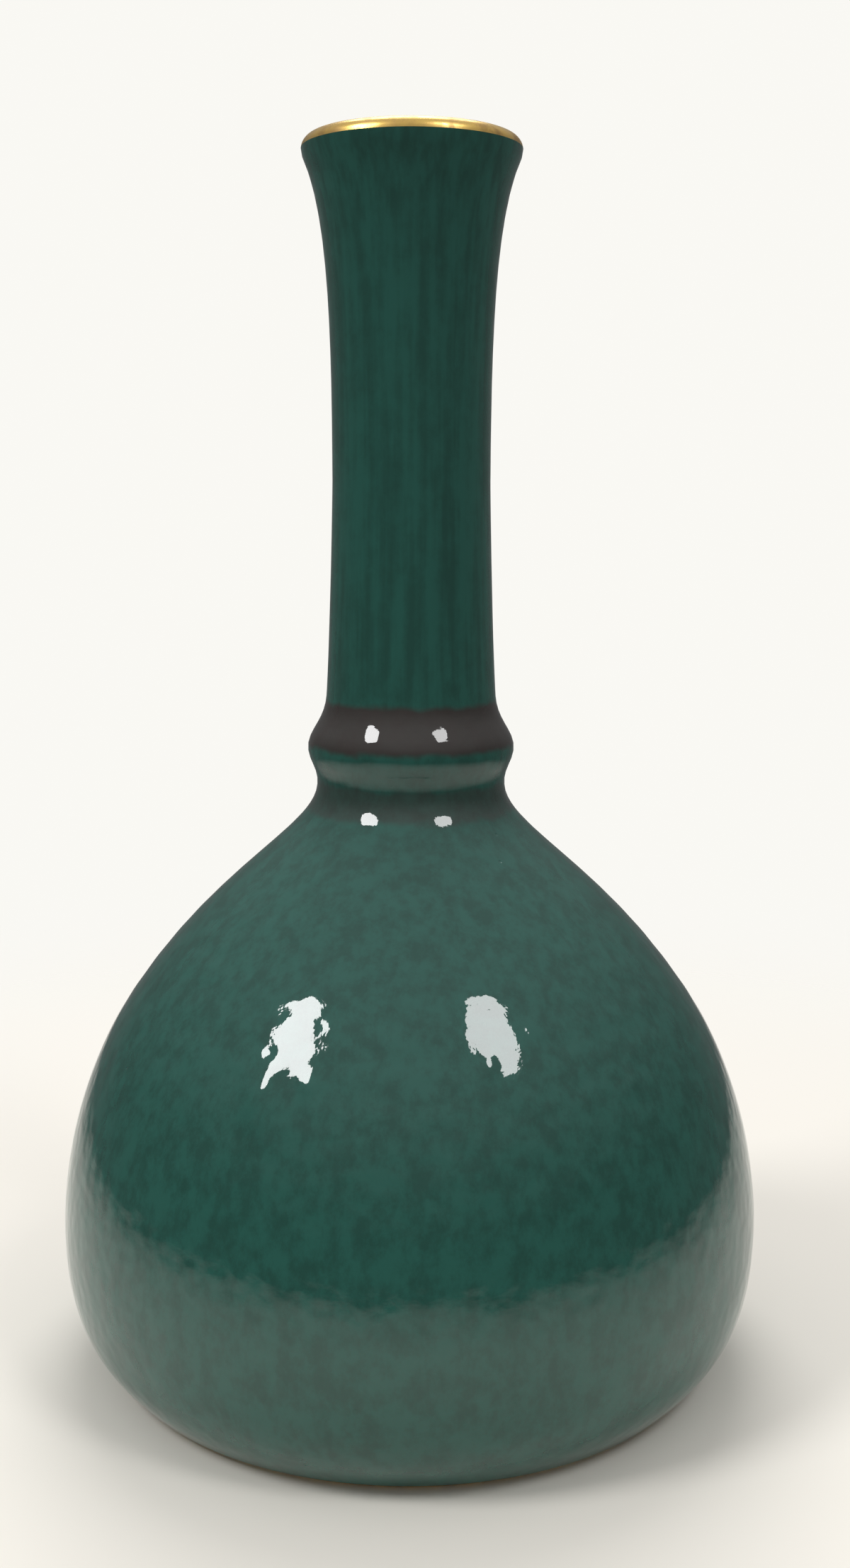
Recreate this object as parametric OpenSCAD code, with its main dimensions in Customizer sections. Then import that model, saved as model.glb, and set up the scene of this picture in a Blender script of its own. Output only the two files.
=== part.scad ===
// Bottle vase in enamelled copper: a low bulb, a moulded collar and a tall flared neck.
//
// Every piece is turned about the Z axis, and the vase stands on z = 0. The copper is raised in
// three shells that lap and are brazed: a lower bowl, a shoulder and a neck tube. A rebated ring
// covers the neck joint and gives the collar its shape. Vitreous enamel coats the outside, the
// inside and the base, and the rim ring and the foot ring are left as gilt metal.

/* [Bulb] */
// Diameter at the widest point
girth_d = 146; // [120:1:176]
// Height of the widest point above the floor
girth_h = 30.5; // [25:0.5:38]
// Distance that the wall has come in from the girth, half way up the shoulder
shoulder_in = 14.4; // [10:0.1:20]
// Height of that place above the floor
shoulder_h = 77.5; // [68:0.5:84]
// How far the wall leans in there, in degrees from upright
shoulder_lean = 33.8; // [28:0.2:38]
// Distance that the wall has come in from the girth, at the enamel's lower edge
foot_in = 10.1; // [8:0.1:14]
// How far the wall leans out at that edge, in degrees from upright
foot_lean = 42.6; // [38:0.2:48]

/* [Collar] */
// Height of the groove under the collar above the floor
groove_h = 122.4; // [102:0.2:148]
// Diameter of that groove
groove_d = 38.7; // [32:0.1:47]
// Distance that the collar's crest stands out from the groove
crest_out = 1.9; // [1.6:0.1:2.6]
// Height of the crest above the groove
crest_rise = 7.3; // [6.8:0.1:8.5]
// Height of the whole collar, from the groove to the root of the neck
collar_h = 18.2; // [17:0.2:22]

/* [Neck] */
// Distance that the root of the neck is set in from the groove
root_in = 2; // [1.5:0.1:2.6]
// How far the wall leans in at the root, in degrees from upright
root_lean = 3.4; // [1:0.2:6]
// Distance that the waist, the narrowest place, is set in from the root
waist_in = 1.4; // [0.5:0.1:2.5]
// Height of the waist above the root
waist_rise = 42.6; // [34:0.2:52]
// Height of the neck from its root to the top of the rim
neck_h = 109.4; // [90:0.2:132]
// Diameter of the mouth over the lip
lip_d = 43.6; // [36:0.1:53]
// Radius of the lip's outer edge
lip_round = 2.7; // [2.6:0.1:3.2]
// How far the wall leans out under the lip, in degrees from upright
flare_lean = 24.7; // [18:0.1:30]

/* [Walls] */
// Thickness of the outer enamel
enamel_t = 0.8; // [0.5:0.05:1]
// Thickness of the copper
copper_t = 1.2; // [0.9:0.05:1.45]
// Thickness of the enamel inside the vase and under its base
lining_t = 0.5; // [0.3:0.05:0.6]

/* [Rim ring] */
// Height of the gilt ring above its seam with the enamel
rim_h = 2.4; // [1.8:0.1:2.6]
// Depth of the tongue that locates the ring in the neck tube
tongue_h = 3.5; // [2:0.1:5]
// Distance that the ring's bore stands in from the lining below it
bore_bead = 0.3; // [0.1:0.05:0.6]
// Height over which the top of the ring rounds down into its bore
bore_round = 1.6; // [1:0.1:1.8]

/* [Foot] */
// Height of the gilt foot ring
foot_h = 2.2; // [1.8:0.1:3]
// Distance that the foot ring is set in from the enamel's lower edge
foot_set = 2.1; // [1.2:0.1:4]
// Width of the foot ring's wall
foot_w = 3.2; // [2:0.1:4]
// Chamfer on the foot ring's lower edges
foot_chamfer = 0.4; // [0.2:0.1:0.8]
// Distance that the bowl's flange reaches in past the foot ring
flange_in = 3.6; // [2.5:0.1:6]
// Overlap of the base plate on that flange
plate_lap = 4.5; // [3:0.1:5.4]
// Rise of the base plate at its centre, which keeps the vase from rocking on it
plate_rise = 2.5; // [1:0.1:5]

/* [Joints] */
// Overlap of the shoulder shell inside the bowl
girth_lap = 5; // [3:0.1:7]
// Height over which the shoulder's wall steps in to that overlap
joggle_h = 4; // [2:0.1:6]
// Height of the socket that the shoulder turns up round the neck tube
socket_h = 6; // [4:0.1:7.2]
// Depth of the neck tube's end below the groove
spigot_drop = 3; // [2:0.1:4]
// Height of the collar ring's lower face above the groove
ring_lift = 3; // [2.4:0.1:3.6]
// Distance of the collar ring's upper face below the root of the neck
ring_drop = 5; // [4.4:0.1:6]
// Clearance that the braze fills in a lapped joint
fit_gap = 0.05; // [0.02:0.01:0.1]
// Leg of a braze fillet
fillet_leg = 0.8; // [0.5:0.1:1.2]

/* [Hidden] */
$fn = 128;

// Straight steps in one curve of the outline, in a small arc and in the base plate's dome.
curve_steps = 12;
arc_steps = 6;
dome_steps = 10;

green = "#1f5148";
inner_green = "#1b4a40";
gilt = "#c79a3a";
copper = "#b06a48";
silver = "#c9c3a8";

// ---- Curves ----
// A station is [radius, height, lean], and lean is measured outwards from upright.
function along(lean) = [sin(lean), cos(lean)];

// A cubic curve from station a up to station b, without b itself. The pull at each end is a
// share of the chord.
function curve(a, b, pull_a, pull_b) =
    let (
        p0 = [a[0], a[1]],
        p3 = [b[0], b[1]],
        chord = norm(p3 - p0),
        p1 = p0 + pull_a * chord * along(a[2]),
        p2 = p3 - pull_b * chord * along(b[2])
    )
    [for (i = [0:curve_steps - 1])
        let (
            t = i / curve_steps,
            u = 1 - t,
            p = u * u * u * p0 + 3 * u * u * t * p1 + 3 * u * t * t * p2 + t * t * t * p3,
            v = u * u * (p1 - p0) + 2 * u * t * (p2 - p1) + t * t * (p3 - p2)
        )
        [p[0], p[1], atan2(v[0], v[1])]];

// A line moved in towards the axis, square to itself.
function inset(line, depth) =
    [for (s = line) [s[0] - depth * cos(s[2]), s[1] + depth * sin(s[2])]];

// The radius of a line at a height, the points of it between two heights, and those points
// from the top down.
function radius_at(line, z) = lookup(z, [for (p = line) [p[1], p[0]]]);
function upward(line, low, high) =
    let (near = 0.01)
    concat(
        [[radius_at(line, low), low]],
        [for (p = line) if (p[1] > low + near && p[1] < high - near) [p[0], p[1]]],
        [[radius_at(line, high), high]]
    );
function reversed(points) = [for (i = [len(points) - 1:-1:0]) points[i]];
function downward(line, high, low) = reversed(upward(line, low, high));

// ---- The outline of the vase, from the foot to the rim's seam ----
root_h = groove_h + collar_h;
total_h = root_h + neck_h;
rim_seam = total_h - rim_h;
girth_r = girth_d / 2;
groove_r = groove_d / 2;
lip_centre = [lip_d / 2 - lip_round, total_h - lip_round];
seam_angle = asin((rim_seam - lip_centre[1]) / lip_round);

foot_edge = [girth_r - foot_in, foot_h - enamel_t * sin(foot_lean), foot_lean];
girth = [girth_r, girth_h, 0];
shoulder = [girth_r - shoulder_in, shoulder_h, -shoulder_lean];
groove = [groove_r, groove_h, 0];
crest = [groove_r + crest_out, groove_h + crest_rise, 0];
root = [groove_r - root_in, root_h, -root_lean];
waist = [root[0] - waist_in, root_h + waist_rise, 0];
lip = [
    lip_centre[0] + lip_round * cos(flare_lean),
    lip_centre[1] - lip_round * sin(flare_lean),
    flare_lean
];
lip_arc = [for (i = [0:arc_steps])
    let (a = -flare_lean + (seam_angle + flare_lean) * i / arc_steps)
    [lip_centre[0] + lip_round * cos(a), lip_centre[1] + lip_round * sin(a), -a]];

outline = concat(
    curve(foot_edge, girth, 0.254, 0.584),
    curve(girth, shoulder, 0.147, 0.471),
    curve(shoulder, groove, 0.55, 0.162),
    curve(groove, crest, 0.422, 0.352),
    curve(crest, root, 0.3, 0.484),
    curve(root, waist, 0.343, 0.02),
    curve(waist, lip, 0.4235, 0.202),
    lip_arc
);

// ---- Lines inside the outline: the faces of the copper and of the lining ----
metal_line = inset(outline, enamel_t);
wall_line = inset(outline, enamel_t + copper_t);
face_line = inset(outline, enamel_t + copper_t + lining_t);

// The same lines one wall further in, where the shoulder laps inside the bowl.
lap_line = inset(outline, enamel_t + copper_t + fit_gap);
lap_wall_line = inset(outline, enamel_t + 2 * copper_t + fit_gap);
lap_face_line = inset(outline, enamel_t + 2 * copper_t + fit_gap + lining_t);

// ---- Levels and radii that the pieces share ----
flange_top = foot_h + copper_t;
plate_top = flange_top + copper_t;
foot_r = foot_edge[0] - foot_set;
foot_bore_r = foot_r - foot_w;
flange_r = foot_bore_r - flange_in;
plate_r = flange_r + plate_lap;

lap_end = girth_h - girth_lap;
joggle_top = girth_h + joggle_h;

socket_r = groove_r - enamel_t;
spigot_r = socket_r - copper_t - fit_gap;
socket_top = groove_h + socket_h;
spigot_end = groove_h - spigot_drop;
ring_low = groove_h + ring_lift;
ring_top = root_h - ring_drop;

tongue_end = rim_seam - tongue_h;
bore_r = radius_at(face_line, tongue_end) - bore_bead;

// The dome that the base plate and both enamels on it share, from its rim in to the axis.
function dome(level) =
    [for (i = [dome_steps:-1:0])
        let (share = i / dome_steps)
        [flange_r * share, level + plate_rise * (1 + cos(180 * share)) / 2]];

// ---- Enamel ----
module outer_enamel() {
    color(green)
    rotate_extrude()
    polygon(concat(
        [[foot_r, foot_h], [foot_r, foot_edge[1]]],
        upward(outline, foot_edge[1], rim_seam),
        downward(metal_line, rim_seam, root_h),
        [[spigot_r, ring_top]],
        downward(metal_line, ring_top, ring_low),
        [[socket_r, ring_low]],
        downward(metal_line, groove_h, foot_h)
    ));
}

module lining_enamel() {
    against_copper = concat(
        reversed(dome(plate_top)),
        [
            [plate_r, plate_top],
            [plate_r, flange_top + fillet_leg],
            [plate_r + fillet_leg, flange_top]
        ],
        upward(wall_line, flange_top, lap_end),
        upward(lap_wall_line, lap_end, girth_h),
        upward(wall_line, joggle_top, spigot_end),
        [[spigot_r - copper_t, spigot_end], [spigot_r - copper_t, ring_top]],
        upward(wall_line, root_h, tongue_end)
    );
    free_face = concat(
        downward(face_line, tongue_end, root_h),
        [
            [spigot_r - copper_t - lining_t, ring_top],
            [spigot_r - copper_t - lining_t, spigot_end - lining_t]
        ],
        downward(face_line, spigot_end - lining_t, joggle_top),
        downward(lap_face_line, girth_h, lap_end - lining_t),
        downward(face_line, lap_end - lining_t, plate_top + lining_t),
        dome(plate_top + lining_t)
    );
    color(inner_green)
    rotate_extrude()
    polygon(concat(against_copper, free_face));
}

module base_enamel() {
    color(inner_green)
    rotate_extrude()
    polygon(concat(dome(flange_top), reversed(dome(flange_top - lining_t))));
}

// ---- Gilt metal ----
module rim_ring() {
    outer_arc = [for (i = [0:arc_steps])
        let (a = seam_angle + (90 - seam_angle) * i / arc_steps)
        lip_centre + lip_round * [cos(a), sin(a)]];
    bore_arc = [for (i = [1:arc_steps])
        let (a = 90 + 90 * i / arc_steps)
        [lip_centre[0] + (lip_centre[0] - bore_r) * cos(a),
         total_h - bore_round + bore_round * sin(a)]];
    color(gilt)
    rotate_extrude()
    polygon(concat(
        [[bore_r, tongue_end]],
        upward(lap_line, tongue_end, rim_seam),
        outer_arc,
        bore_arc
    ));
}

module foot_ring() {
    color(gilt)
    rotate_extrude()
    polygon([
        [foot_bore_r + foot_chamfer, 0],
        [foot_r - foot_chamfer, 0],
        [foot_r, foot_chamfer],
        [foot_r, foot_h],
        [foot_bore_r, foot_h],
        [foot_bore_r, foot_chamfer]
    ]);
}

// ---- Copper ----
module neck_tube() {
    color(copper)
    rotate_extrude()
    polygon(concat(
        [[spigot_r - copper_t, spigot_end], [spigot_r, spigot_end], [spigot_r, ring_top]],
        upward(metal_line, root_h, rim_seam),
        downward(wall_line, rim_seam, root_h),
        [[spigot_r - copper_t, ring_top]]
    ));
}

// The ring is rebated: its lower part slips over the socket, and its upper part over the neck.
module collar_ring() {
    color(copper)
    rotate_extrude()
    polygon(concat(
        [[socket_r + fit_gap, ring_low]],
        upward(metal_line, ring_low, ring_top),
        [
            [spigot_r + fit_gap, ring_top],
            [spigot_r + fit_gap, socket_top],
            [socket_r + fit_gap, socket_top]
        ]
    ));
}

module shoulder_shell() {
    color(copper)
    rotate_extrude()
    polygon(concat(
        upward(lap_line, lap_end, girth_h),
        upward(metal_line, joggle_top, groove_h),
        [[socket_r, socket_top], [socket_r - copper_t, socket_top]],
        downward(wall_line, groove_h, joggle_top),
        downward(lap_wall_line, girth_h, lap_end)
    ));
}

module lower_bowl() {
    color(copper)
    rotate_extrude()
    polygon(concat(
        [[flange_r, foot_h]],
        upward(metal_line, foot_h, girth_h),
        downward(wall_line, girth_h, flange_top),
        [[flange_r, flange_top]]
    ));
}

module base_plate() {
    color(copper)
    rotate_extrude()
    polygon(concat(
        [[plate_r, flange_top]],
        dome(flange_top),
        reversed(dome(plate_top)),
        [[plate_r, plate_top]]
    ));
}

// ---- Brazed joints ----
// The braze runs up between the neck tube's end and the shoulder.
module neck_seam_braze() {
    color(silver)
    rotate_extrude()
    polygon(concat(
        [[spigot_r, groove_h], [spigot_r, spigot_end]],
        upward(wall_line, spigot_end, groove_h)
    ));
}

// The braze fills the step above the bowl's edge, flush with the copper on both sides.
module girth_seam_braze() {
    color(silver)
    rotate_extrude()
    polygon(concat(
        [[radius_at(lap_line, girth_h), girth_h]],
        upward(metal_line, girth_h, joggle_top)
    ));
}

module fillet_ring(corner_r, corner_z, out, up) {
    color(silver)
    rotate_extrude()
    polygon([
        [corner_r, corner_z],
        [corner_r + out * fillet_leg, corner_z],
        [corner_r, corner_z + up * fillet_leg]
    ]);
}

module base_seam_braze() {
    fillet_ring(plate_r, flange_top, 1, 1);
}

module foot_seam_braze() {
    fillet_ring(foot_bore_r, foot_h, -1, -1);
}

outer_enamel();
lining_enamel();
base_enamel();
rim_ring();
foot_ring();
neck_tube();
collar_ring();
shoulder_shell();
lower_bowl();
base_plate();
neck_seam_braze();
girth_seam_braze();
base_seam_braze();
foot_seam_braze();
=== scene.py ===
"""Green enamelled bottle vase with a gilt rim, on a pale floor under soft light.

The visible skins of the vase are lathed afresh from the sections of the CAD nodes that they
replace, with smooth curves in place of the CAD's short straight steps. The copper and the braze
inside stay as they are and get their finishes here.
"""

import logging
import math
from dataclasses import dataclass, field
from enum import Enum

import bpy
from mathutils import Euler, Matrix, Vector


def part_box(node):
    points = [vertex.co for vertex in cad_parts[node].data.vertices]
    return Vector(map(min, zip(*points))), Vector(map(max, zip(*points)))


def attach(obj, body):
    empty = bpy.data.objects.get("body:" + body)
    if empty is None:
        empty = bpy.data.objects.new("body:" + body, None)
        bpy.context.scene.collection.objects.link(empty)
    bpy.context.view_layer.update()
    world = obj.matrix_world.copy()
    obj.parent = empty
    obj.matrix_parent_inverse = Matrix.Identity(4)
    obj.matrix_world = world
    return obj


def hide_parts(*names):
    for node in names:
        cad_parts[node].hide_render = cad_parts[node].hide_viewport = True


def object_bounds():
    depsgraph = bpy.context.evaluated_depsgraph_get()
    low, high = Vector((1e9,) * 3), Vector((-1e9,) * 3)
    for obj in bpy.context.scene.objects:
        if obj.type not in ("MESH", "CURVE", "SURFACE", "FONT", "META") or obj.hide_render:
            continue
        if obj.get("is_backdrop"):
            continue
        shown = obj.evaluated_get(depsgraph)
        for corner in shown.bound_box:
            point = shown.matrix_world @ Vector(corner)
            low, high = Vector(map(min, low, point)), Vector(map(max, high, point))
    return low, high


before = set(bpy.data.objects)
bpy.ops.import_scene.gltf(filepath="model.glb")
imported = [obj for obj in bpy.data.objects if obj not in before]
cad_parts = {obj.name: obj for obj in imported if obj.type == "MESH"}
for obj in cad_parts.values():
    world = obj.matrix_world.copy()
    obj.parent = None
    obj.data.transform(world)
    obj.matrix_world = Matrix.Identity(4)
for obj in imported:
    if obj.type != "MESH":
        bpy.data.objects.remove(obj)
log = logging.getLogger("vase")

MM = 0.001
WELD = 0.002 * MM
RING_CELL = 0.006 * MM
SHARP_EDGE = 32

Point = tuple[float, float]
Colour = tuple[float, float, float]


class Slot(Enum):
    """The record's material slots. Each lathe holds one, but nothing reads it; the pieces get their
    finishes from the classes below.
    """

    GREEN_ENAMEL = "green_enamel"
    INNER_ENAMEL = "inner_enamel"
    GILT = "gilt"


# ---------------------------------------------------------------- shader graphs


class Graph:
    """A node tree that is built by calls, so that a shader reads like a formula."""

    def __init__(self, tree: bpy.types.NodeTree) -> None:
        """Empties the tree and keeps it.

        Args:
            tree: the node tree of a material or of the world.
        """
        self.tree = tree
        tree.nodes.clear()

    def node(self, kind: str, **settings: object) -> bpy.types.Node:
        """Adds a node.

        Args:
            kind: the node's type name.
            settings: properties to set on it.

        Returns:
            The new node.
        """
        made = self.tree.nodes.new(kind)
        for name, value in settings.items():
            setattr(made, name, value)
        return made

    def feed(self, socket: bpy.types.NodeSocket, value: object) -> None:
        """Links an output to a socket, or sets the socket's own value.

        Args:
            socket: the input to fill.
            value: an output socket, a number, a colour or a vector.
        """
        if isinstance(value, bpy.types.NodeSocket):
            self.tree.links.new(value, socket)
        elif socket.type == "RGBA" and len(value) == 3:
            socket.default_value = (*value, 1.0)
        else:
            socket.default_value = value

    def math(self, operation: str, a: object, b: object = 0.0, c: object = 0.0) -> bpy.types.NodeSocket:
        """Does one step of arithmetic.

        Args:
            operation: the step's name.
            a: the first number, or its socket.
            b: the second one.
            c: the third one, for the steps that take three.

        Returns:
            The result's socket.
        """
        made = self.node("ShaderNodeMath", operation=operation)
        for socket, value in zip(made.inputs, (a, b, c)):
            self.feed(socket, value)
        return made.outputs[0]

    def ramp(
        self, value: object, low: float, high: float, to: Point = (0.0, 1.0)
    ) -> bpy.types.NodeSocket:
        """Makes a smooth step of value between low and high, clamped.

        Args:
            value: the socket to read.
            low: where the step starts.
            high: where the step ends; it may be below low.
            to: the results at low and at high.

        Returns:
            The step's output socket.
        """
        made = self.node("ShaderNodeMapRange", interpolation_type="SMOOTHSTEP")
        names = ("Value", "From Min", "From Max", "To Min", "To Max")
        for name, given in zip(names, (value, low, high, *to)):
            self.feed(made.inputs[name], given)
        return made.outputs["Result"]

    def band(self, value: object, low: float, high: float, soft: float) -> bpy.types.NodeSocket:
        """Marks a range of values.

        Args:
            value: the socket to read.
            low: where the range starts.
            high: where it ends.
            soft: the width of its edges.

        Returns:
            A socket that is 1 inside the range and 0 outside.
        """
        rise = self.ramp(value, low - soft / 2, low + soft / 2)
        fall = self.ramp(value, high + soft / 2, high - soft / 2)
        return self.math("MULTIPLY", rise, fall)

    def mix(self, factor: object, a: object, b: object) -> bpy.types.NodeSocket:
        """Blends colour a with colour b.

        Args:
            factor: how much of b there is.
            a: the first colour, or its socket.
            b: the second colour, or its socket.

        Returns:
            The blended colour's socket.
        """
        made = self.node("ShaderNodeMix", data_type="RGBA", blend_type="MIX")
        for socket, value in zip((made.inputs[0], made.inputs[6], made.inputs[7]), (factor, a, b)):
            self.feed(socket, value)
        return made.outputs[2]

    def noise(
        self,
        where: object,
        size: float,
        detail: float = 2.0,
        rough: float = 0.5,
        stretch: Colour = (1.0, 1.0, 1.0),
    ) -> bpy.types.NodeSocket:
        """Draws noise from 0 to 1.

        Args:
            where: the position that the noise reads, in metres.
            size: the width of one swell of the noise, in metres.
            detail: how many finer layers are added.
            rough: how strong those layers are.
            stretch: how much longer a swell is along each axis.

        Returns:
            The noise's value socket.
        """
        placed = self.node("ShaderNodeMapping")
        self.feed(placed.inputs["Vector"], where)
        placed.inputs["Scale"].default_value = tuple(1.0 / (size * s) for s in stretch)
        made = self.node("ShaderNodeTexNoise")
        self.feed(made.inputs["Vector"], placed.outputs["Vector"])
        made.inputs["Scale"].default_value = 1.0
        made.inputs["Detail"].default_value = detail
        made.inputs["Roughness"].default_value = rough
        return made.outputs["Fac"]

    def total(self, *values: object) -> bpy.types.NodeSocket:
        """Adds values up.

        Args:
            values: numbers or sockets.

        Returns:
            The sum's socket.
        """
        result = values[0]
        for value in values[1:]:
            result = self.math("ADD", result, value)
        return result

    def bump(self, height: object) -> bpy.types.NodeSocket:
        """Tilts the surface by a height.

        Args:
            height: the height's socket, in metres.

        Returns:
            The tilted normal's socket.
        """
        made = self.node("ShaderNodeBump")
        made.inputs["Strength"].default_value = 1.0
        made.inputs["Distance"].default_value = 1.0
        self.feed(made.inputs["Height"], height)
        return made.outputs["Normal"]


@dataclass(frozen=True)
class Dab:
    """A small raised or sunken place on the wall of the vase.

    The place is given as seen from the front: its angle to the right of the front, in degrees,
    and its height above the floor.
    """

    angle: float
    height: float
    wide: float
    tall: float
    rise: float


@dataclass(frozen=True)
class Drip:
    """A run of glass that crept down the wall from a dab before it set."""

    top_angle: float
    top_height: float
    end_angle: float
    end_height: float
    wide: float
    rise: float
    sway: float


@dataclass(frozen=True)
class EnamelFinish:
    """Fired glass on metal: opaque deep colour under a hard gloss, never quite even."""

    name: str
    body: Colour
    thick: Colour
    # The third colour is the brown of the thin coat over the crest; it also serves as painted shade in the
    # groove under the collar.
    thin_and_shade: Colour
    roughness: float = 0.035
    index: float = 1.52
    thin_and_shaded_bands: tuple[tuple[float, float, float], ...] = ()
    peel: float = 1.0
    dabs: tuple[Dab, ...] = ()
    drip: Drip | None = None
    neck_start: Point = (128 * MM, 150 * MM)
    mottle_size: float = 4 * MM
    wander_size: float = 6 * MM
    wander_reach: float = 2.4 * MM
    band_edge: float = 1.6 * MM
    swell_size: float = 6.5 * MM
    swell_rise: float = 0.12 * MM
    ripple_size: float = 2.8 * MM
    ripple_rise: float = 0.085 * MM
    ripple_loss: float = 0.045 * MM
    grain_size: float = 0.9 * MM
    grain_rise: float = 0.012 * MM
    streak_size: float = 3.2 * MM
    streak_rise: float = 0.045 * MM
    pit_gap: float = 9 * MM
    pit_depth: float = 0.09 * MM

    def colour(self, graph: Graph, where: object) -> bpy.types.NodeSocket:
        """Colours the glass: mottled, streaked downwards, thin over the crest, and darkened with painted
        shade in the groove below it.

        Args:
            graph: the graph to build in.
            where: the position's socket.

        Returns:
            The colour's socket.
        """
        height = graph.node("ShaderNodeSeparateXYZ")
        graph.feed(height.inputs["Vector"], where)
        mottle = graph.noise(where, self.mottle_size, detail=5.0, rough=0.68, stretch=(1.0, 1.0, 1.4))
        streaks = graph.noise(where, 2.2 * MM, detail=2.0, rough=0.5, stretch=(1.0, 1.0, 22.0))
        run = graph.math("MULTIPLY_ADD", self._on_neck(graph, where), 0.45, 0.15)
        depth = graph.math("MULTIPLY_ADD", graph.math("SUBTRACT", streaks, mottle), run, mottle)
        colour = graph.mix(graph.ramp(depth, 0.38, 0.64), self.body, self.thick)
        drift = graph.math("SUBTRACT", graph.noise(where, self.wander_size), 0.5)
        wander = graph.math("MULTIPLY", drift, self.wander_reach)
        level = graph.math("ADD", height.outputs["Z"], wander)
        # Each band mixes in the brownish colour: over the collar's crest it is the thin coat, in the groove
        # below it is painted shade.
        for low, high, share in self.thin_and_shaded_bands:
            thin_and_shade_share = graph.math("MULTIPLY", graph.band(level, low, high, self.band_edge), share)
            colour = graph.mix(thin_and_shade_share, colour, self.thin_and_shade)
        return colour

    def relief(self, graph: Graph, where: object) -> bpy.types.NodeSocket:
        """Shapes the glass's surface: ripples, streaks, pinholes, dabs and the drip.

        Args:
            graph: the graph to build in.
            where: the position's socket.

        Returns:
            The height's socket, in metres.
        """
        neck = self._on_neck(graph, where)
        swell = graph.noise(where, self.swell_size, detail=0.0)
        swell = graph.math("MULTIPLY", swell, self.swell_rise * self.peel)
        calm = graph.math("MULTIPLY_ADD", neck, -self.ripple_loss * self.peel, self.ripple_rise * self.peel)
        ripple = graph.math("MULTIPLY", graph.noise(where, self.ripple_size, detail=0.0), calm)
        grain = graph.noise(where, self.grain_size, detail=1.0)
        grain = graph.math("MULTIPLY", grain, self.grain_rise * self.peel)
        pulled = graph.noise(where, self.streak_size, detail=1.0, stretch=(1.0, 1.0, 14.0))
        streaks = graph.math("MULTIPLY", graph.math("MULTIPLY", pulled, neck), self.streak_rise * self.peel)
        height = graph.total(swell, ripple, grain, streaks, self._pits(graph, where))
        for dab in self.dabs:
            height = graph.math("ADD", height, self._dab(graph, where, dab))
        if self.drip:
            height = graph.math("ADD", height, self._drip(graph, where, self.drip))
        return height

    def _on_neck(self, graph: Graph, where: object) -> bpy.types.NodeSocket:
        """Marks the neck, where the glass ran straight down.

        Args:
            graph: the graph to build in.
            where: the position's socket.

        Returns:
            A socket that is 1 on the neck and 0 on the bulb.
        """
        parts = graph.node("ShaderNodeSeparateXYZ")
        graph.feed(parts.inputs["Vector"], where)
        return graph.ramp(parts.outputs["Z"], *self.neck_start)

    def _pits(self, graph: Graph, where: object) -> bpy.types.NodeSocket:
        """Sinks the pinholes that burst bubbles left: few, small and shallow.

        Args:
            graph: the graph to build in.
            where: the position's socket.

        Returns:
            The height's socket, in metres.
        """
        placed = graph.node("ShaderNodeMapping")
        graph.feed(placed.inputs["Vector"], where)
        placed.inputs["Scale"].default_value = (1.0 / self.pit_gap,) * 3
        cells = graph.node("ShaderNodeTexVoronoi", feature="F1")
        graph.feed(cells.inputs["Vector"], placed.outputs["Vector"])
        cells.inputs["Scale"].default_value = 1.0
        tone = graph.node("ShaderNodeSeparateColor")
        graph.feed(tone.inputs["Color"], cells.outputs["Color"])
        chosen = graph.ramp(tone.outputs["Red"], 0.80, 0.82)
        hole = graph.ramp(cells.outputs["Distance"], 0.055, 0.015)
        return graph.math("MULTIPLY", graph.math("MULTIPLY", hole, chosen), -self.pit_depth)

    def _polar(self, graph: Graph, where: object) -> tuple[object, object, object]:
        """Finds a place's turn about the axis.

        Args:
            graph: the graph to build in.
            where: the position's socket.

        Returns:
            The angle from the front in degrees, the height and the radius.
        """
        parts = graph.node("ShaderNodeSeparateXYZ")
        graph.feed(parts.inputs["Vector"], where)
        x, y, z = parts.outputs
        turn = graph.math("ARCTAN2", x, graph.math("MULTIPLY", y, -1.0))
        squares = graph.math("ADD", graph.math("MULTIPLY", x, x), graph.math("MULTIPLY", y, y))
        span = graph.math("SQRT", squares)
        return graph.math("DEGREES", turn), z, span

    def _across(self, graph: Graph, angle: object, span: object, centre: object) -> bpy.types.NodeSocket:
        """Measures along the wall.

        Args:
            graph: the graph to build in.
            angle: the place's angle, in degrees.
            span: the place's radius.
            centre: the angle to measure from, in degrees.

        Returns:
            The distance's socket, in metres.
        """
        away = graph.math("RADIANS", graph.math("SUBTRACT", angle, centre))
        return graph.math("MULTIPLY", away, span)

    def _mound(
        self, graph: Graph, across: object, up: object, wide: float, tall: float
    ) -> bpy.types.NodeSocket:
        """Shapes a smooth mound.

        Args:
            graph: the graph to build in.
            across: the distance from its middle along the wall.
            up: the distance from its middle in height.
            wide: how far it spreads along the wall.
            tall: how far it spreads in height.

        Returns:
            A socket that is 1 in the middle and falls off.
        """
        side = graph.math("POWER", graph.math("DIVIDE", across, wide), 2.0)
        rise = graph.math("POWER", graph.math("DIVIDE", up, tall), 2.0)
        return graph.math("EXPONENT", graph.math("MULTIPLY", graph.math("ADD", side, rise), -1.0))

    def _dab(self, graph: Graph, where: object, dab: Dab) -> bpy.types.NodeSocket:
        """Raises or sinks one dab.

        Args:
            graph: the graph to build in.
            where: the position's socket.
            dab: the dab to shape.

        Returns:
            The height's socket, in metres.
        """
        angle, height, span = self._polar(graph, where)
        across = self._across(graph, angle, span, dab.angle)
        up = graph.math("SUBTRACT", height, dab.height)
        return graph.math("MULTIPLY", self._mound(graph, across, up, dab.wide, dab.tall), dab.rise)

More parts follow.
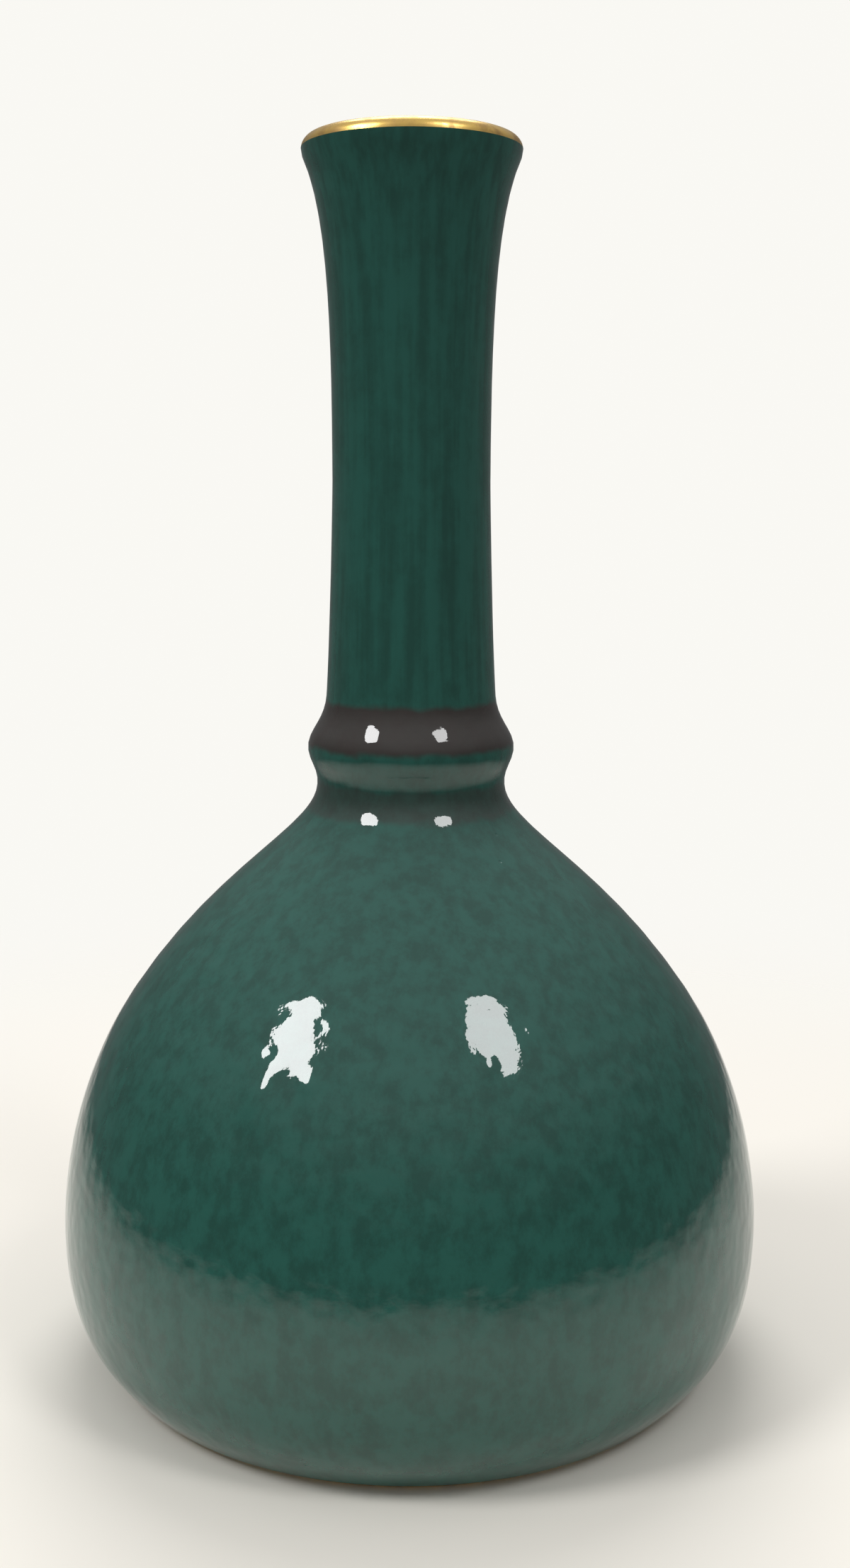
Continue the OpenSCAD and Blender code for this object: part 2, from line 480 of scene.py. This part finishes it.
    def _drip(self, graph: Graph, where: object, drip: Drip) -> bpy.types.NodeSocket:
        """Raises the drip's narrow ridge.

        Args:
            graph: the graph to build in.
            where: the position's socket.
            drip: the drip to shape.

        Returns:
            The height's socket, in metres.
        """
        angle, height, span = self._polar(graph, where)
        lean = (drip.top_angle - drip.end_angle) / (drip.top_height - drip.end_height)
        down = graph.math("SUBTRACT", height, drip.end_height)
        line = graph.math("MULTIPLY_ADD", down, lean, drip.end_angle)
        sway = graph.math("MULTIPLY", graph.noise(where, 9 * MM, stretch=(1000.0, 1000.0, 1.0)), drip.sway)
        across = self._across(graph, angle, span, graph.math("ADD", line, sway))
        ridge = self._mound(graph, across, 0.0, drip.wide, 1.0)
        ends = graph.band(height, drip.end_height, drip.top_height, 3 * MM)
        return graph.math("MULTIPLY", graph.math("MULTIPLY", ridge, ends), drip.rise)

    def material(self) -> bpy.types.Material:
        """Makes the enamel.

        Returns:
            The new material.
        """
        made = bpy.data.materials.new(self.name)
        made.use_nodes = True
        graph = Graph(made.node_tree)
        where = graph.node("ShaderNodeTexCoord").outputs["Object"]
        shader = graph.node("ShaderNodeBsdfPrincipled")
        shader.inputs["IOR"].default_value = self.index
        shader.inputs["Roughness"].default_value = self.roughness
        graph.feed(shader.inputs["Base Color"], self.colour(graph, where))
        graph.feed(shader.inputs["Normal"], graph.bump(self.relief(graph, where)))
        out = graph.node("ShaderNodeOutputMaterial")
        graph.feed(out.inputs["Surface"], shader.outputs["BSDF"])
        return made


@dataclass(frozen=True)
class MetalFinish:
    """Worked metal: bright where it is rubbed, darker and rougher where it isn't."""

    name: str
    bright: Colour
    dull: Colour
    roughness: float
    dull_roughness: float
    hammer: float
    hammer_size: float
    brush: float

    def material(self) -> bpy.types.Material:
        """Makes the metal.

        Returns:
            The new material.
        """
        made = bpy.data.materials.new(self.name)
        made.use_nodes = True
        graph = Graph(made.node_tree)
        where = graph.node("ShaderNodeTexCoord").outputs["Object"]
        wear = graph.ramp(graph.noise(where, 5 * MM, detail=5.0, rough=0.62), 0.42, 0.66)
        shader = graph.node("ShaderNodeBsdfPrincipled")
        shader.inputs["Metallic"].default_value = 1.0
        graph.feed(shader.inputs["Base Color"], graph.mix(wear, self.bright, self.dull))
        rough = graph.math("MULTIPLY_ADD", wear, self.dull_roughness - self.roughness, self.roughness)
        graph.feed(shader.inputs["Roughness"], rough)
        dents = graph.noise(where, self.hammer_size, detail=0.0)
        lines = graph.noise(where, 0.35 * MM, detail=1.0, stretch=(30.0, 30.0, 1.0))
        height = graph.math(
            "ADD", graph.math("MULTIPLY", dents, self.hammer), graph.math("MULTIPLY", lines, self.brush)
        )
        graph.feed(shader.inputs["Normal"], graph.bump(height))
        out = graph.node("ShaderNodeOutputMaterial")
        graph.feed(out.inputs["Surface"], shader.outputs["BSDF"])
        return made


# ---------------------------------------------------------------- sections and lathing


@dataclass
class Section:
    """The half section of a turned CAD node, as a chain of (radius, height) points in metres."""

    node: str
    chain: list[Point] = field(init=False)
    closed: bool = field(init=False)

    def __post_init__(self) -> None:
        """Reads the chain from the rings of vertices of the node's mesh."""
        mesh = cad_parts[self.node].data
        rings: dict[tuple[int, int], Point] = {}
        key = [self.ring(rings, math.hypot(v.co.x, v.co.y), v.co.z) for v in mesh.vertices]
        beside: dict[Point, set[Point]] = {}
        for edge in mesh.edges:
            a, b = (key[i] for i in edge.vertices)
            if a != b:
                beside.setdefault(a, set()).add(b)
                beside.setdefault(b, set()).add(a)
        ends = sorted(p for p in beside if len(beside[p]) == 1)
        self.closed = not ends
        self.chain = [ends[0] if ends else min(beside)]
        while len(self.chain) < len(beside):
            self.chain.append(next(p for p in beside[self.chain[-1]] if p not in self.chain[-2:]))

    def ring(self, rings: dict[tuple[int, int], Point], radius: float, height: float) -> Point:
        """Returns the ring that a vertex lies on, and notes it down if it is new.

        Args:
            rings: the rings found so far, by their place on a fine grid.
            radius: the vertex's distance from the axis.
            height: the vertex's height.

        Returns:
            The ring's radius and height.
        """
        a, b = round(radius / RING_CELL), round(height / RING_CELL)
        for i in (a, a - 1, a + 1):
            for j in (b, b - 1, b + 1):
                if (i, j) in rings:
                    return rings[i, j]
        rings[a, b] = (radius, height)
        return rings[a, b]

    def runs(self, sharp: float = 24.0) -> list[list[Point]]:
        """Splits the chain where it turns by more than sharp degrees.

        Args:
            sharp: the turn that counts as a corner.

        Returns:
            Lists of points that each follow one smooth line; neighbours share their end points.
        """
        points = self.chain
        count = len(points)
        corners = []
        for i, here in enumerate(points):
            before, after = points[i - 1], points[(i + 1) % count]
            into = math.atan2(here[1] - before[1], here[0] - before[0])
            out = math.atan2(after[1] - here[1], after[0] - here[0])
            turn = abs((out - into + math.pi) % (2 * math.pi) - math.pi)
            at_end = not self.closed and i in (0, count - 1)
            if at_end or math.degrees(turn) > sharp:
                corners.append(i)
        spans = list(zip(corners, corners[1:]))
        if self.closed:
            spans.append((corners[-1], corners[0] + count))
        return [[points[i % count] for i in range(a, b + 1)] for a, b in spans]


def smooth_run(points: list[Point], spacing: float) -> list[Point]:
    """Draws an even, smooth line through points.

    Args:
        points: the points that the line passes through.
        spacing: the distance between the new points.

    Returns:
        The new points, without the last one.
    """
    if len(points) == 2:
        return [points[0]]
    knots = [Vector(p) for p in points]
    knots = [2 * knots[0] - knots[1], *knots, 2 * knots[-1] - knots[-2]]
    dense: list[Vector] = []
    for a, b, c, d in zip(knots, knots[1:], knots[2:], knots[3:]):
        gap = (c - b).length
        into = ((b - a) / (b - a).length + (c - b) / gap) / 2 * gap
        out = ((c - b) / gap + (d - c) / (d - c).length) / 2 * gap
        for k in range(16):
            t = k / 16
            dense.append(
                b * (2 * t**3 - 3 * t**2 + 1) + into * (t**3 - 2 * t**2 + t)
                + c * (3 * t**2 - 2 * t**3) + out * (t**3 - t**2)
            )
    dense.append(knots[-2])
    lengths = [0.0]
    for a, b in zip(dense, dense[1:]):
        lengths.append(lengths[-1] + (b - a).length)
    count = max(len(points) - 1, round(lengths[-1] / spacing))
    made, i = [], 0
    for k in range(count):
        want = lengths[-1] * k / count
        while lengths[i + 1] < want:
            i += 1
        share = (want - lengths[i]) / (lengths[i + 1] - lengths[i])
        made.append(tuple(dense[i].lerp(dense[i + 1], share)))
    return made


@dataclass
class Lathe:
    """Turns a section into a piece, with an even mesh on the side that is seen."""

    name: str
    node: str
    slot: Slot
    steps: int
    spacing: float
    hidden_spacing: float
    edge: float = 0.0

    def outline(self) -> tuple[list[Point], bool]:
        """Smooths the section, with finer points on the run that is seen.

        Returns:
            The points, and whether they close on themselves.
        """
        section = Section(self.node)
        runs = section.runs()
        seen = max(range(len(runs)), key=lambda i: self.weight(runs[i]))
        points: list[Point] = []
        for i, run in enumerate(runs):
            points += smooth_run(run, self.spacing if i == seen else self.hidden_spacing)
        if not section.closed:
            points.append(runs[-1][-1])
        return points, section.closed

    def weight(self, run: list[Point]) -> float:
        """Returns how much a run counts as the side that is seen: its greatest radius."""
        return max(p[0] for p in run) if len(run) > 2 else 0.0

    def build(self) -> bpy.types.Object:
        """Draws the section point by point, spins it, and closes its seams.

        Returns:
            The finished piece, which stands for its CAD node.
        """
        points, closed = self.outline()
        bpy.ops.object.select_all(action="DESELECT")
        bpy.ops.mesh.primitive_plane_add(size=MM, location=(0.0, 0.0, 0.0))
        piece = bpy.context.object
        piece.name = piece.data.name = self.name
        bpy.ops.object.mode_set(mode="EDIT")
        bpy.ops.mesh.select_mode(type="VERT")
        bpy.ops.mesh.select_all(action="SELECT")
        bpy.ops.mesh.merge(type="CENTER")
        bpy.ops.transform.translate(value=(points[0][0], 0.0, points[0][1]))
        for a, b in zip(points, points[1:] + points[: int(closed)]):
            move = (b[0] - a[0], 0.0, b[1] - a[1])
            bpy.ops.mesh.extrude_vertices_move(TRANSFORM_OT_translate={"value": move})
        bpy.ops.mesh.select_all(action="SELECT")
        bpy.ops.mesh.remove_doubles(threshold=WELD)
        bpy.ops.mesh.spin(steps=self.steps, angle=2 * math.pi, center=(0.0, 0.0, 0.0), axis=(0.0, 0.0, 1.0))
        bpy.ops.mesh.select_all(action="SELECT")
        bpy.ops.mesh.remove_doubles(threshold=WELD)
        bpy.ops.mesh.select_all(action="SELECT")
        bpy.ops.mesh.normals_make_consistent(inside=False)
        bpy.ops.object.mode_set(mode="OBJECT")
        self.finish(piece)
        bpy.ops.object.select_all(action="DESELECT")
        piece.select_set(True)
        bpy.context.view_layer.objects.active = piece
        bpy.ops.object.shade_smooth_by_angle(angle=math.radians(SHARP_EDGE))
        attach(piece, "root")
        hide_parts(self.node)
        log.info("%s: %d points in its section, %d faces", self.name, len(points), len(piece.data.polygons))
        return piece

    def finish(self, piece: bpy.types.Object) -> None:
        """Rounds the piece's sharp edges, where it has an edge size.

        Args:
            piece: the spun piece.
        """
        if self.edge > 0:
            bevel = piece.modifiers.new("eased edges", "BEVEL")
            bevel.width = self.edge
            bevel.segments = 2
            bevel.limit_method = "ANGLE"
            bevel.angle_limit = math.radians(SHARP_EDGE)
            bpy.ops.object.modifier_apply(modifier=bevel.name)


# ---------------------------------------------------------------- the vase


@dataclass
class EnamelSkins:
    """The three coats of glass: outside, inside and under the base."""

    outside: Lathe = field(
        default_factory=lambda: Lathe(
            "enamel_outside", "outer_enamel", Slot.GREEN_ENAMEL, 320, 1.5 * MM, 6 * MM
        )
    )
    inside: Lathe = field(
        default_factory=lambda: Lathe(
            "enamel_inside", "lining_enamel", Slot.INNER_ENAMEL, 160, 4 * MM, 4 * MM
        )
    )
    base: Lathe = field(
        default_factory=lambda: Lathe("enamel_base", "base_enamel", Slot.INNER_ENAMEL, 160, 3 * MM, 3 * MM)
    )
    swell_size: float = 13 * MM
    swell_rise: float = 0.06 * MM
    swell_fade: float = 6 * MM
    green: EnamelFinish = EnamelFinish(
        name="green_enamel",
        body=(0.018, 0.102, 0.080),
        thick=(0.013, 0.070, 0.054),
        thin_and_shade=(0.040, 0.026, 0.025),
        index=1.58,
        # The upper band is the thin coat over the collar's crest; the lower band is painted shade in the
        # groove under the collar.
        thin_and_shaded_bands=((130.3 * MM, 139.5 * MM, 0.9), (117.0 * MM, 123.0 * MM, 0.5)),
        dabs=(
            Dab(-26.6, 73.5 * MM, 3.4 * MM, 5.0 * MM, 0.55 * MM),
            Dab(-26.9, 80.0 * MM, 1.3 * MM, 0.9 * MM, -0.10 * MM),
            Dab(-18.1, 75.8 * MM, 1.7 * MM, 2.0 * MM, 0.22 * MM),
            Dab(14.3, 79.4 * MM, 1.8 * MM, 2.0 * MM, 0.22 * MM),
            Dab(42.4, 72.5 * MM, 1.6 * MM, 1.8 * MM, 0.18 * MM),
        ),
        drip=Drip(-27.8, 70.0 * MM, -30.4, 50.0 * MM, 1.0 * MM, 0.10 * MM, 4.0),
    )
    counter: EnamelFinish = EnamelFinish(
        name="counter_enamel",
        body=(0.014, 0.052, 0.040),
        thick=(0.010, 0.036, 0.030),
        thin_and_shade=(0.020, 0.020, 0.020),
        roughness=0.09,
        peel=1.5,
    )

    def build(self) -> None:
        """Lathes the coats, lets the outer one swell unevenly, and dresses them."""
        outside = self.outside.build()
        self.swell(outside)
        outside.data.materials.append(self.green.material())
        for lathe in (self.inside, self.base):
            lathe.build().data.materials.append(self.counter.material())

    def swell(self, piece: bpy.types.Object) -> None:
        """Gives the outside the slow unevenness of hand-laid glass.

        Args:
            piece: the outer coat.
        """
        low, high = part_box("outer_enamel")
        group = piece.vertex_groups.new(name="outer face")
        for vertex in piece.data.vertices:
            outward = vertex.normal.dot(Vector((vertex.co.x, vertex.co.y, 0.0)).normalized())
            edge = min(vertex.co.z - low.z, high.z - vertex.co.z)
            if outward > -0.2:
                group.add([vertex.index], min(1.0, edge / self.swell_fade), "REPLACE")
        clouds = bpy.data.textures.new("slow swell", "CLOUDS")
        clouds.noise_scale = self.swell_size
        clouds.noise_depth = 1
        shift = piece.modifiers.new("slow swell", "DISPLACE")
        shift.texture = clouds
        shift.texture_coords = "LOCAL"
        shift.strength = self.swell_rise
        shift.mid_level = 0.5
        shift.vertex_group = group.name
        bpy.context.view_layer.objects.active = piece
        bpy.ops.object.modifier_apply(modifier=shift.name)


@dataclass
class GiltMounts:
    """The two rings of gilt metal that the enamel stops against."""

    rim: Lathe = field(
        default_factory=lambda: Lathe("gilt_rim", "rim_ring", Slot.GILT, 240, 0.35 * MM, 0.8 * MM)
    )
    foot: Lathe = field(
        default_factory=lambda: Lathe(
            "gilt_foot", "foot_ring", Slot.GILT, 240, 1 * MM, 1 * MM, edge=0.12 * MM
        )
    )
    gilt: MetalFinish = MetalFinish(
        name="gilt",
        bright=(0.88, 0.59, 0.17),
        dull=(0.52, 0.33, 0.12),
        roughness=0.24,
        dull_roughness=0.42,
        hammer=0.03 * MM,
        hammer_size=4 * MM,
        brush=0.002 * MM,
    )

    def build(self) -> None:
        """Lathes both rings and gilds them."""
        finish = self.gilt.material()
        for lathe in (self.rim, self.foot):
            lathe.build().data.materials.append(finish)


@dataclass
class CopperBody:
    """The raised copper and the braze inside the enamel, which keep their CAD shapes."""

    shells: tuple[str, ...] = ("neck_tube", "collar_ring", "shoulder_shell", "lower_bowl", "base_plate")
    seams: tuple[str, ...] = ("neck_seam_braze", "girth_seam_braze", "base_seam_braze", "foot_seam_braze")
    copper: MetalFinish = MetalFinish(
        name="hammered_copper",
        bright=(0.72, 0.36, 0.22),
        dull=(0.30, 0.13, 0.08),
        roughness=0.28,
        dull_roughness=0.55,
        hammer=0.10 * MM,
        hammer_size=7 * MM,
        brush=0.003 * MM,
    )
    silver: MetalFinish = MetalFinish(
        name="silver_braze",
        bright=(0.74, 0.70, 0.58),
        dull=(0.42, 0.38, 0.30),
        roughness=0.35,
        dull_roughness=0.6,
        hammer=0.05 * MM,
        hammer_size=1.5 * MM,
        brush=0.0,
    )

    def build(self) -> None:
        """Dresses the hidden CAD nodes."""
        for names, finish in ((self.shells, self.copper.material()), (self.seams, self.silver.material())):
            for name in names:
                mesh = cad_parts[name].data
                mesh.materials.clear()
                mesh.materials.append(finish)
                log.info("%s: dressed in %s", name, finish.name)


# ---------------------------------------------------------------- the studio


@dataclass(frozen=True)
class Softbox:
    """A round soft lamp that faces the vase.

    Azimuth 0 is towards the camera and 90 is to the right. Angles are in degrees, the diameter
    in metres and the power in watts.
    """

    name: str
    azimuth: float
    elevation: float
    diameter: float
    power: float

    def hang(self, centre: Vector, reach: float) -> None:
        """Hangs the lamp and turns it to the vase.

        Args:
            centre: the point that the lamp faces.
            reach: how far from that point the lamp hangs.
        """
        lamp = bpy.data.lights.new(self.name, "AREA")
        lamp.shape = "DISK"
        lamp.size = self.diameter
        lamp.energy = self.power
        hung = bpy.data.objects.new(self.name, lamp)
        bpy.context.collection.objects.link(hung)
        turn, rise = math.radians(self.azimuth), math.radians(self.elevation)
        out = Vector((math.sin(turn) * math.cos(rise), -math.cos(turn) * math.cos(rise), math.sin(rise)))
        hung.location = centre + out * reach
        hung.rotation_euler = out.to_track_quat("Z", "Y").to_euler()


@dataclass
class Studio:
    """A plain pale floor, soft lamps, an even sky and the camera."""

    distance: float = 1.4261
    camera_height: float = 0.7187
    pitch: float = 9.24
    yaw: float = 0.47
    roll: float = 0.18
    lens: float = 39.94
    reach: float = 1.6
    floor_radius: float = 0.72
    floor_fade: Point = (0.12, 0.42)
    floor_colour: Colour = (0.90, 0.86, 0.79)
    sky_level: Point = (0.14, 0.62)
    backdrop: Colour = (0.95, 0.94, 0.90)
    lamps: tuple[Softbox, ...] = (
        Softbox("lamp_left", -60, 45, 0.50, 9.0),
        Softbox("lamp_right", 45, 50, 0.45, 5.0),
        Softbox("lamp_back", 180, 60, 1.00, 10.0),
    )

    def build(self) -> None:
        """Lays the floor, sets the light and places the camera."""
        self.floor()
        self.sky()
        low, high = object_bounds()
        for lamp in self.lamps:
            lamp.hang((low + high) / 2, self.reach)
        self.camera()
        bpy.context.scene.view_settings.view_transform = "Standard"

    def floor(self) -> None:
        """Lays a round pale paper floor that thins away towards its edge."""
        bpy.ops.object.select_all(action="DESELECT")
        bpy.ops.mesh.primitive_circle_add(vertices=96, radius=self.floor_radius, fill_type="NGON")
        sheet = bpy.context.object
        sheet.name = "floor"
        made = bpy.data.materials.new("floor_paper")
        made.use_nodes = True
        graph = Graph(made.node_tree)
        where = graph.node("ShaderNodeTexCoord").outputs["Object"]
        away = graph.node("ShaderNodeVectorMath", operation="LENGTH")
        graph.feed(away.inputs[0], where)
        paper = graph.node("ShaderNodeBsdfPrincipled")
        paper.inputs["Base Color"].default_value = (*self.floor_colour, 1.0)
        paper.inputs["Roughness"].default_value = 0.7
        paper.inputs["Specular IOR Level"].default_value = 0.2
        blend = graph.node("ShaderNodeMixShader")
        graph.feed(blend.inputs[0], graph.ramp(away.outputs["Value"], *self.floor_fade))
        graph.feed(blend.inputs[1], paper.outputs["BSDF"])
        graph.feed(blend.inputs[2], graph.node("ShaderNodeBsdfTransparent").outputs["BSDF"])
        graph.feed(graph.node("ShaderNodeOutputMaterial").inputs["Surface"], blend.outputs["Shader"])
        sheet.data.materials.append(made)
        sheet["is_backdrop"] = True

    def sky(self) -> None:
        """Lights the room evenly, dimmer at the horizon than overhead, before a pale backdrop."""
        world = bpy.data.worlds.new("studio")
        bpy.context.scene.world = world
        world.use_nodes = True
        graph = Graph(world.node_tree)
        parts = graph.node("ShaderNodeSeparateXYZ")
        graph.feed(parts.inputs["Vector"], graph.node("ShaderNodeTexCoord").outputs["Generated"])
        level = graph.ramp(parts.outputs["Z"], 0.0, 1.0, self.sky_level)
        seen = graph.node("ShaderNodeLightPath").outputs["Is Camera Ray"]
        light = graph.node("ShaderNodeCombineXYZ")
        for side in light.inputs:
            graph.feed(side, level)
        shade = graph.node("ShaderNodeBackground")
        graph.feed(shade.inputs["Color"], graph.mix(seen, light.outputs["Vector"], self.backdrop))
        graph.feed(graph.node("ShaderNodeOutputWorld").inputs["Surface"], shade.outputs["Background"])

    def camera(self) -> None:
        """Places a compact camera close in front of the vase and a little above its middle."""
        low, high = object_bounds()
        tall = high.z - low.z
        camera = bpy.data.objects.new("camera", bpy.data.cameras.new("camera"))
        bpy.context.collection.objects.link(camera)
        camera.data.lens = self.lens
        camera.data.clip_start = 0.01
        camera.location = (0.0, -self.distance * tall, self.camera_height * tall)
        aim = Euler((math.radians(90 - self.pitch), 0.0, math.radians(-self.yaw))).to_matrix()
        aim = aim @ Euler((0.0, 0.0, math.radians(self.roll))).to_matrix()
        camera.rotation_euler = aim.to_euler()
        bpy.context.scene.camera = camera


def main() -> None:
    """Builds the vase and the studio."""
    logging.basicConfig(level=logging.INFO, format="%(name)s: %(message)s")
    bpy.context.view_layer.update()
    EnamelSkins().build()
    GiltMounts().build()
    CopperBody().build()
    Studio().build()


if __name__ == "__main__":
    main()
